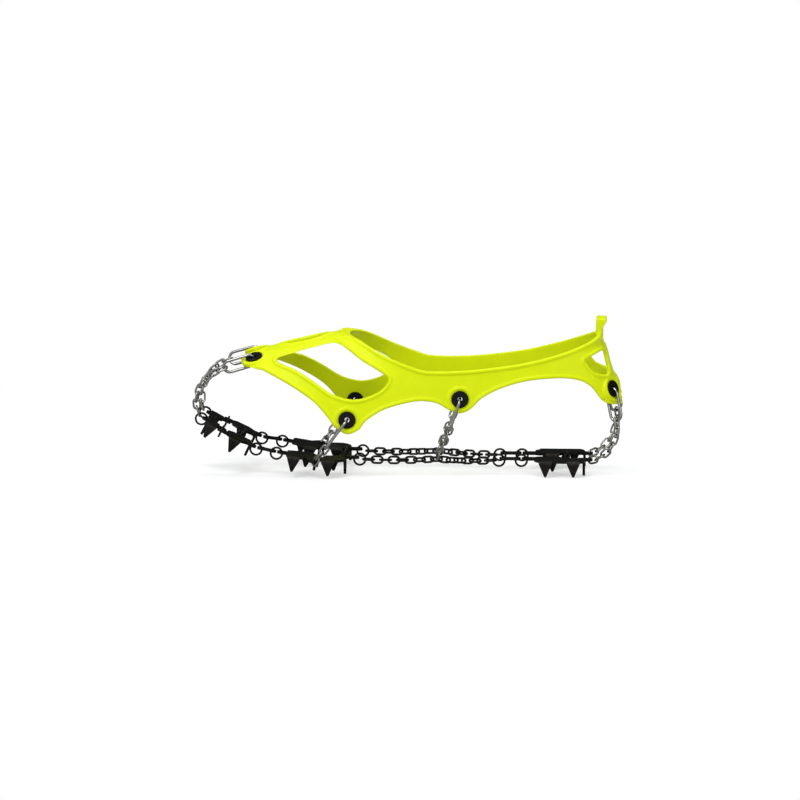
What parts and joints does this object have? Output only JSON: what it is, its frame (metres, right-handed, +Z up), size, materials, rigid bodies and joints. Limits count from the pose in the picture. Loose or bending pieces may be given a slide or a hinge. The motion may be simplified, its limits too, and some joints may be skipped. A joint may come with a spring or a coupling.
{
  "type": "hiking crampon",
  "caption": "Slip-on chain crampon: a stretched elastomer harness with grommets, oval links and chains that hold toothed steel plates under a shoe's sole.",
  "frame": {"origin": "middle of the sole's seat, on the plane of the ball plates' top", "axes": "+X towards the heel, toe at -X, left side at -Y, +Z up through the foot's opening"},
  "size_m": [0.2922, 0.1078, 0.1056],
  "materials": {
    "elastomer": "satin moulded elastomer, fluorescent yellow-green",
    "grommet": "black, slightly glossy",
    "bright_steel": "bright stainless wire",
    "dark_steel": "dark hardened steel"
  },
  "bodies": {
    "harness": {"harness": "elastomer", "toe_grommets": "grommet", "forefoot_grommets": "grommet", "arch_grommets": "grommet", "heel_grommets": "grommet", "toe_ring_left": "dark_steel", "front_hinge_ring_left": "dark_steel", "forefoot_bar_front_ring_left": "dark_steel", "forefoot_bar_rear_ring_left": "dark_steel", "ball_hinge_ring_left": "dark_steel", "arch_ring_left": "dark_steel", "heel_bar_front_ring_left": "dark_steel", "heel_bar_rear_ring_left": "dark_steel", "toe_ring_right": "dark_steel", "front_hinge_ring_right": "dark_steel", "forefoot_bar_front_ring_right": "dark_steel", "forefoot_bar_rear_ring_right": "dark_steel", "ball_hinge_ring_right": "dark_steel", "arch_ring_right": "dark_steel", "heel_bar_front_ring_right": "dark_steel", "heel_bar_rear_ring_right": "dark_steel"},
    "toe_link_left": {"toe_long_link_left": "bright_steel"},
    "toe_tether_left": {"toe_side_chain_left": "bright_steel"},
    "toe_link_right": {"toe_long_link_right": "bright_steel"},
    "toe_tether_right": {"toe_side_chain_right": "bright_steel"},
    "forefoot_link_left": {"forefoot_long_link_left": "bright_steel"},
    "forefoot_tether_left": {"forefoot_side_chain_left": "bright_steel"},
    "forefoot_link_right": {"forefoot_long_link_right": "bright_steel"},
    "forefoot_tether_right": {"forefoot_side_chain_right": "bright_steel"},
    "arch_link_left": {"arch_long_link_left": "bright_steel"},
    "arch_tether_left": {"arch_side_chain_left": "bright_steel"},
    "arch_link_right": {"arch_long_link_right": "bright_steel"},
    "arch_tether_right": {"arch_side_chain_right": "bright_steel"},
    "heel_link_left": {"heel_long_link_left": "bright_steel"},
    "heel_tether_left": {"heel_side_chain_left": "bright_steel"},
    "heel_link_right": {"heel_long_link_right": "bright_steel"},
    "heel_tether_right": {"heel_side_chain_right": "bright_steel"},
    "toe_plate_left": {"toe_plate_left": "dark_steel"},
    "front_plate_left": {"front_plate_left": "dark_steel"},
    "ball_plate_front_left": {"ball_plate_front_left": "dark_steel"},
    "ball_plate_rear_left": {"ball_plate_rear_left": "dark_steel"},
    "heel_plate_left": {"heel_plate_left": "dark_steel"},
    "forefoot_bar_left": {"forefoot_bar_left": "dark_steel"},
    "heel_bar_left": {"heel_bar_left": "dark_steel"},
    "sole_chain_left": {"sole_chain_left": "dark_steel"},
    "toe_plate_right": {"toe_plate_right": "dark_steel"},
    "front_plate_right": {"front_plate_right": "dark_steel"},
    "ball_plate_front_right": {"ball_plate_front_right": "dark_steel"},
    "ball_plate_rear_right": {"ball_plate_rear_right": "dark_steel"},
    "heel_plate_right": {"heel_plate_right": "dark_steel"},
    "forefoot_bar_right": {"forefoot_bar_right": "dark_steel"},
    "heel_bar_right": {"heel_bar_right": "dark_steel"},
    "sole_chain_right": {"sole_chain_right": "dark_steel"},
    "front_cross_chain": {"front_cross_chain": "dark_steel"},
    "ball_cross_chain": {"ball_cross_chain": "dark_steel"},
    "heel_cross_chain": {"heel_cross_chain": "dark_steel"}
  },
  "joints": [
    {"name": "toe_link_swing_left", "type": "hinge", "parent": "harness", "child": "toe_link_left", "pos_m": [-0.10028, -0.01977, 0.06609], "axis": [-0.2296, -0.3529, 0.907], "range_deg": [-5, 5]},
    {"name": "toe_chain_follow_left", "type": "hinge", "parent": "toe_link_left", "child": "toe_tether_left", "pos_m": [-0.1199, -0.02156, 0.06042], "axis": [0.852, 0.3065, -0.4245], "range_deg": [-6.2, 6.2]},
    {"name": "toe_link_swing_right", "type": "hinge", "parent": "harness", "child": "toe_link_right", "pos_m": [-0.10028, 0.01977, 0.06609], "axis": [-0.2296, 0.3529, 0.907], "range_deg": [-5, 5]},
    {"name": "toe_chain_follow_right", "type": "hinge", "parent": "toe_link_right", "child": "toe_tether_right", "pos_m": [-0.1199, 0.02156, 0.06042], "axis": [0.852, -0.3065, -0.4245], "range_deg": [-6.2, 6.2]},
    {"name": "forefoot_link_swing_left", "type": "hinge", "parent": "harness", "child": "forefoot_link_left", "pos_m": [-0.03594, -0.04671, 0.0291], "axis": [0.0469, -0.9954, 0.0832], "range_deg": [-4, 4]},
    {"name": "forefoot_chain_follow_left", "type": "hinge", "parent": "forefoot_link_left", "child": "forefoot_tether_left", "pos_m": [-0.04968, -0.04889, 0.01078], "axis": [0.2516, 0.9143, 0.3176], "range_deg": [-9.8, 9.8]},
    {"name": "forefoot_link_swing_right", "type": "hinge", "parent": "harness", "child": "forefoot_link_right", "pos_m": [-0.03594, 0.04671, 0.0291], "axis": [0.0469, 0.9954, 0.0832], "range_deg": [-4, 4]},
    {"name": "forefoot_chain_follow_right", "type": "hinge", "parent": "forefoot_link_right", "child": "forefoot_tether_right", "pos_m": [-0.04968, 0.04889, 0.01078], "axis": [0.2516, -0.9143, 0.3176], "range_deg": [-9.8, 9.8]},
    {"name": "arch_link_swing_left", "type": "hinge", "parent": "harness", "child": "arch_link_left", "pos_m": [0.03961, -0.03811, 0.04254], "axis": [0.0891, -0.9954, 0.0365], "range_deg": [-5, 5]},
    {"name": "arch_chain_follow_left", "type": "hinge", "parent": "arch_link_left", "child": "arch_tether_left", "pos_m": [0.03306, -0.0394, 0.02316], "axis": [0.1486, 0.7795, 0.6086], "range_deg": [-7, 7]},
    {"name": "arch_link_swing_right", "type": "hinge", "parent": "harness", "child": "arch_link_right", "pos_m": [0.03961, 0.03811, 0.04254], "axis": [0.0891, 0.9954, 0.0365], "range_deg": [-5, 5]},
    {"name": "arch_chain_follow_right", "type": "hinge", "parent": "arch_link_right", "child": "arch_tether_right", "pos_m": [0.03306, 0.0394, 0.02316], "axis": [0.1486, -0.7795, 0.6086], "range_deg": [-7, 7]},
    {"name": "heel_link_swing_left", "type": "hinge", "parent": "harness", "child": "heel_link_left", "pos_m": [0.14097, -0.01937, 0.04734], "axis": [0.8069, -0.5164, 0.287], "range_deg": [-5, 5]},
    {"name": "heel_chain_follow_left", "type": "hinge", "parent": "heel_link_left", "child": "heel_tether_left", "pos_m": [0.14501, -0.02394, 0.02777], "axis": [-0.6766, 0.5062, 0.5347], "range_deg": [-6.3, 6.3]},
    {"name": "heel_link_swing_right", "type": "hinge", "parent": "harness", "child": "heel_link_right", "pos_m": [0.14097, 0.01937, 0.04734], "axis": [0.8069, 0.5164, 0.287], "range_deg": [-5, 5]},
    {"name": "heel_chain_follow_right", "type": "hinge", "parent": "heel_link_right", "child": "heel_tether_right", "pos_m": [0.14501, 0.02394, 0.02777], "axis": [-0.6766, -0.5062, 0.5347], "range_deg": [-6.3, 6.3]},
    {"name": "toe_plate_rock_left", "type": "hinge", "parent": "harness", "child": "toe_plate_left", "pos_m": [-0.1279, 0, 0.02066], "axis": [0, 1, 0], "range_deg": [-4, 4]},
    {"name": "front_plate_rock_left", "type": "hinge", "parent": "harness", "child": "front_plate_left", "pos_m": [-0.11103, 0, 0.01228], "axis": [0, 1, 0], "range_deg": [-3, 3]},
    {"name": "ball_plate_front_rock_left", "type": "hinge", "parent": "harness", "child": "ball_plate_front_left", "pos_m": [-0.0691, 0, 0.00135], "axis": [0, 1, 0], "range_deg": [-2.5, 2.5]},
    {"name": "ball_plate_rear_rock_left", "type": "hinge", "parent": "harness", "child": "ball_plate_rear_left", "pos_m": [-0.0445, 0, -0.00073], "axis": [0, 1, 0], "range_deg": [-3, 3]},
    {"name": "heel_plate_rock_left", "type": "hinge", "parent": "harness", "child": "heel_plate_left", "pos_m": [0.1084, 0, -0.0019], "axis": [0, 1, 0], "range_deg": [-1.5, 1.5]},
    {"name": "forefoot_bar_rock_left", "type": "hinge", "parent": "harness", "child": "forefoot_bar_left", "pos_m": [-0.0917, 0, 0.00509], "axis": [0, 1, 0], "range_deg": [-6, 6]},
    {"name": "heel_bar_rock_left", "type": "hinge", "parent": "harness", "child": "heel_bar_left", "pos_m": [0.0728, 0, -0.0019], "axis": [0, 1, 0], "range_deg": [-6, 6]},
    {"name": "sole_chain_sway_left", "type": "hinge", "parent": "harness", "child": "sole_chain_left", "pos_m": [-0.02522, -0.018, -0.0021], "axis": [0.9975, 0.0692, -0.0115], "range_deg": [-4, 4]},
    {"name": "toe_plate_rock_right", "type": "hinge", "parent": "harness", "child": "toe_plate_right", "pos_m": [-0.1279, 0, 0.02066], "axis": [0, 1, 0], "range_deg": [-4, 4]},
    {"name": "front_plate_rock_right", "type": "hinge", "parent": "harness", "child": "front_plate_right", "pos_m": [-0.11103, 0, 0.01228], "axis": [0, 1, 0], "range_deg": [-3, 3]},
    {"name": "ball_plate_front_rock_right", "type": "hinge", "parent": "harness", "child": "ball_plate_front_right", "pos_m": [-0.0691, 0, 0.00135], "axis": [0, 1, 0], "range_deg": [-2.5, 2.5]},
    {"name": "ball_plate_rear_rock_right", "type": "hinge", "parent": "harness", "child": "ball_plate_rear_right", "pos_m": [-0.0445, 0, -0.00073], "axis": [0, 1, 0], "range_deg": [-3, 3]},
    {"name": "heel_plate_rock_right", "type": "hinge", "parent": "harness", "child": "heel_plate_right", "pos_m": [0.1084, 0, -0.0019], "axis": [0, 1, 0], "range_deg": [-1.5, 1.5]},
    {"name": "forefoot_bar_rock_right", "type": "hinge", "parent": "harness", "child": "forefoot_bar_right", "pos_m": [-0.0917, 0, 0.00509], "axis": [0, 1, 0], "range_deg": [-6, 6]},
    {"name": "heel_bar_rock_right", "type": "hinge", "parent": "harness", "child": "heel_bar_right", "pos_m": [0.0728, 0, -0.0019], "axis": [0, 1, 0], "range_deg": [-6, 6]},
    {"name": "sole_chain_sway_right", "type": "hinge", "parent": "harness", "child": "sole_chain_right", "pos_m": [-0.02522, 0.018, -0.0021], "axis": [0.9975, -0.0692, -0.0115], "range_deg": [-4, 4]},
    {"name": "front_cross_sway", "type": "hinge", "parent": "harness", "child": "front_cross_chain", "pos_m": [-0.11098, 0, 0.01215], "axis": [0, 1, 0], "range_deg": [-8, 8]},
    {"name": "ball_cross_sway", "type": "hinge", "parent": "harness", "child": "ball_cross_chain", "pos_m": [-0.04001, 0, -0.00078], "axis": [0, 1, 0], "range_deg": [-8, 8]},
    {"name": "heel_cross_sway", "type": "hinge", "parent": "harness", "child": "heel_cross_chain", "pos_m": [0.1104, 0, -0.0019], "axis": [0, 1, 0], "range_deg": [-8, 8]}
  ],
  "couplings": [
    {"joint": "toe_chain_follow_left", "follows": "toe_link_swing_left", "ratio": 1.2195},
    {"joint": "toe_chain_follow_right", "follows": "toe_link_swing_right", "ratio": 1.2195},
    {"joint": "forefoot_chain_follow_left", "follows": "forefoot_link_swing_left", "ratio": 2.4081},
    {"joint": "forefoot_chain_follow_right", "follows": "forefoot_link_swing_right", "ratio": 2.4081},
    {"joint": "arch_chain_follow_left", "follows": "arch_link_swing_left", "ratio": 1.3752},
    {"joint": "arch_chain_follow_right", "follows": "arch_link_swing_right", "ratio": 1.3752},
    {"joint": "heel_chain_follow_left", "follows": "heel_link_swing_left", "ratio": 1.2352},
    {"joint": "heel_chain_follow_right", "follows": "heel_link_swing_right", "ratio": 1.2352}
  ]
}
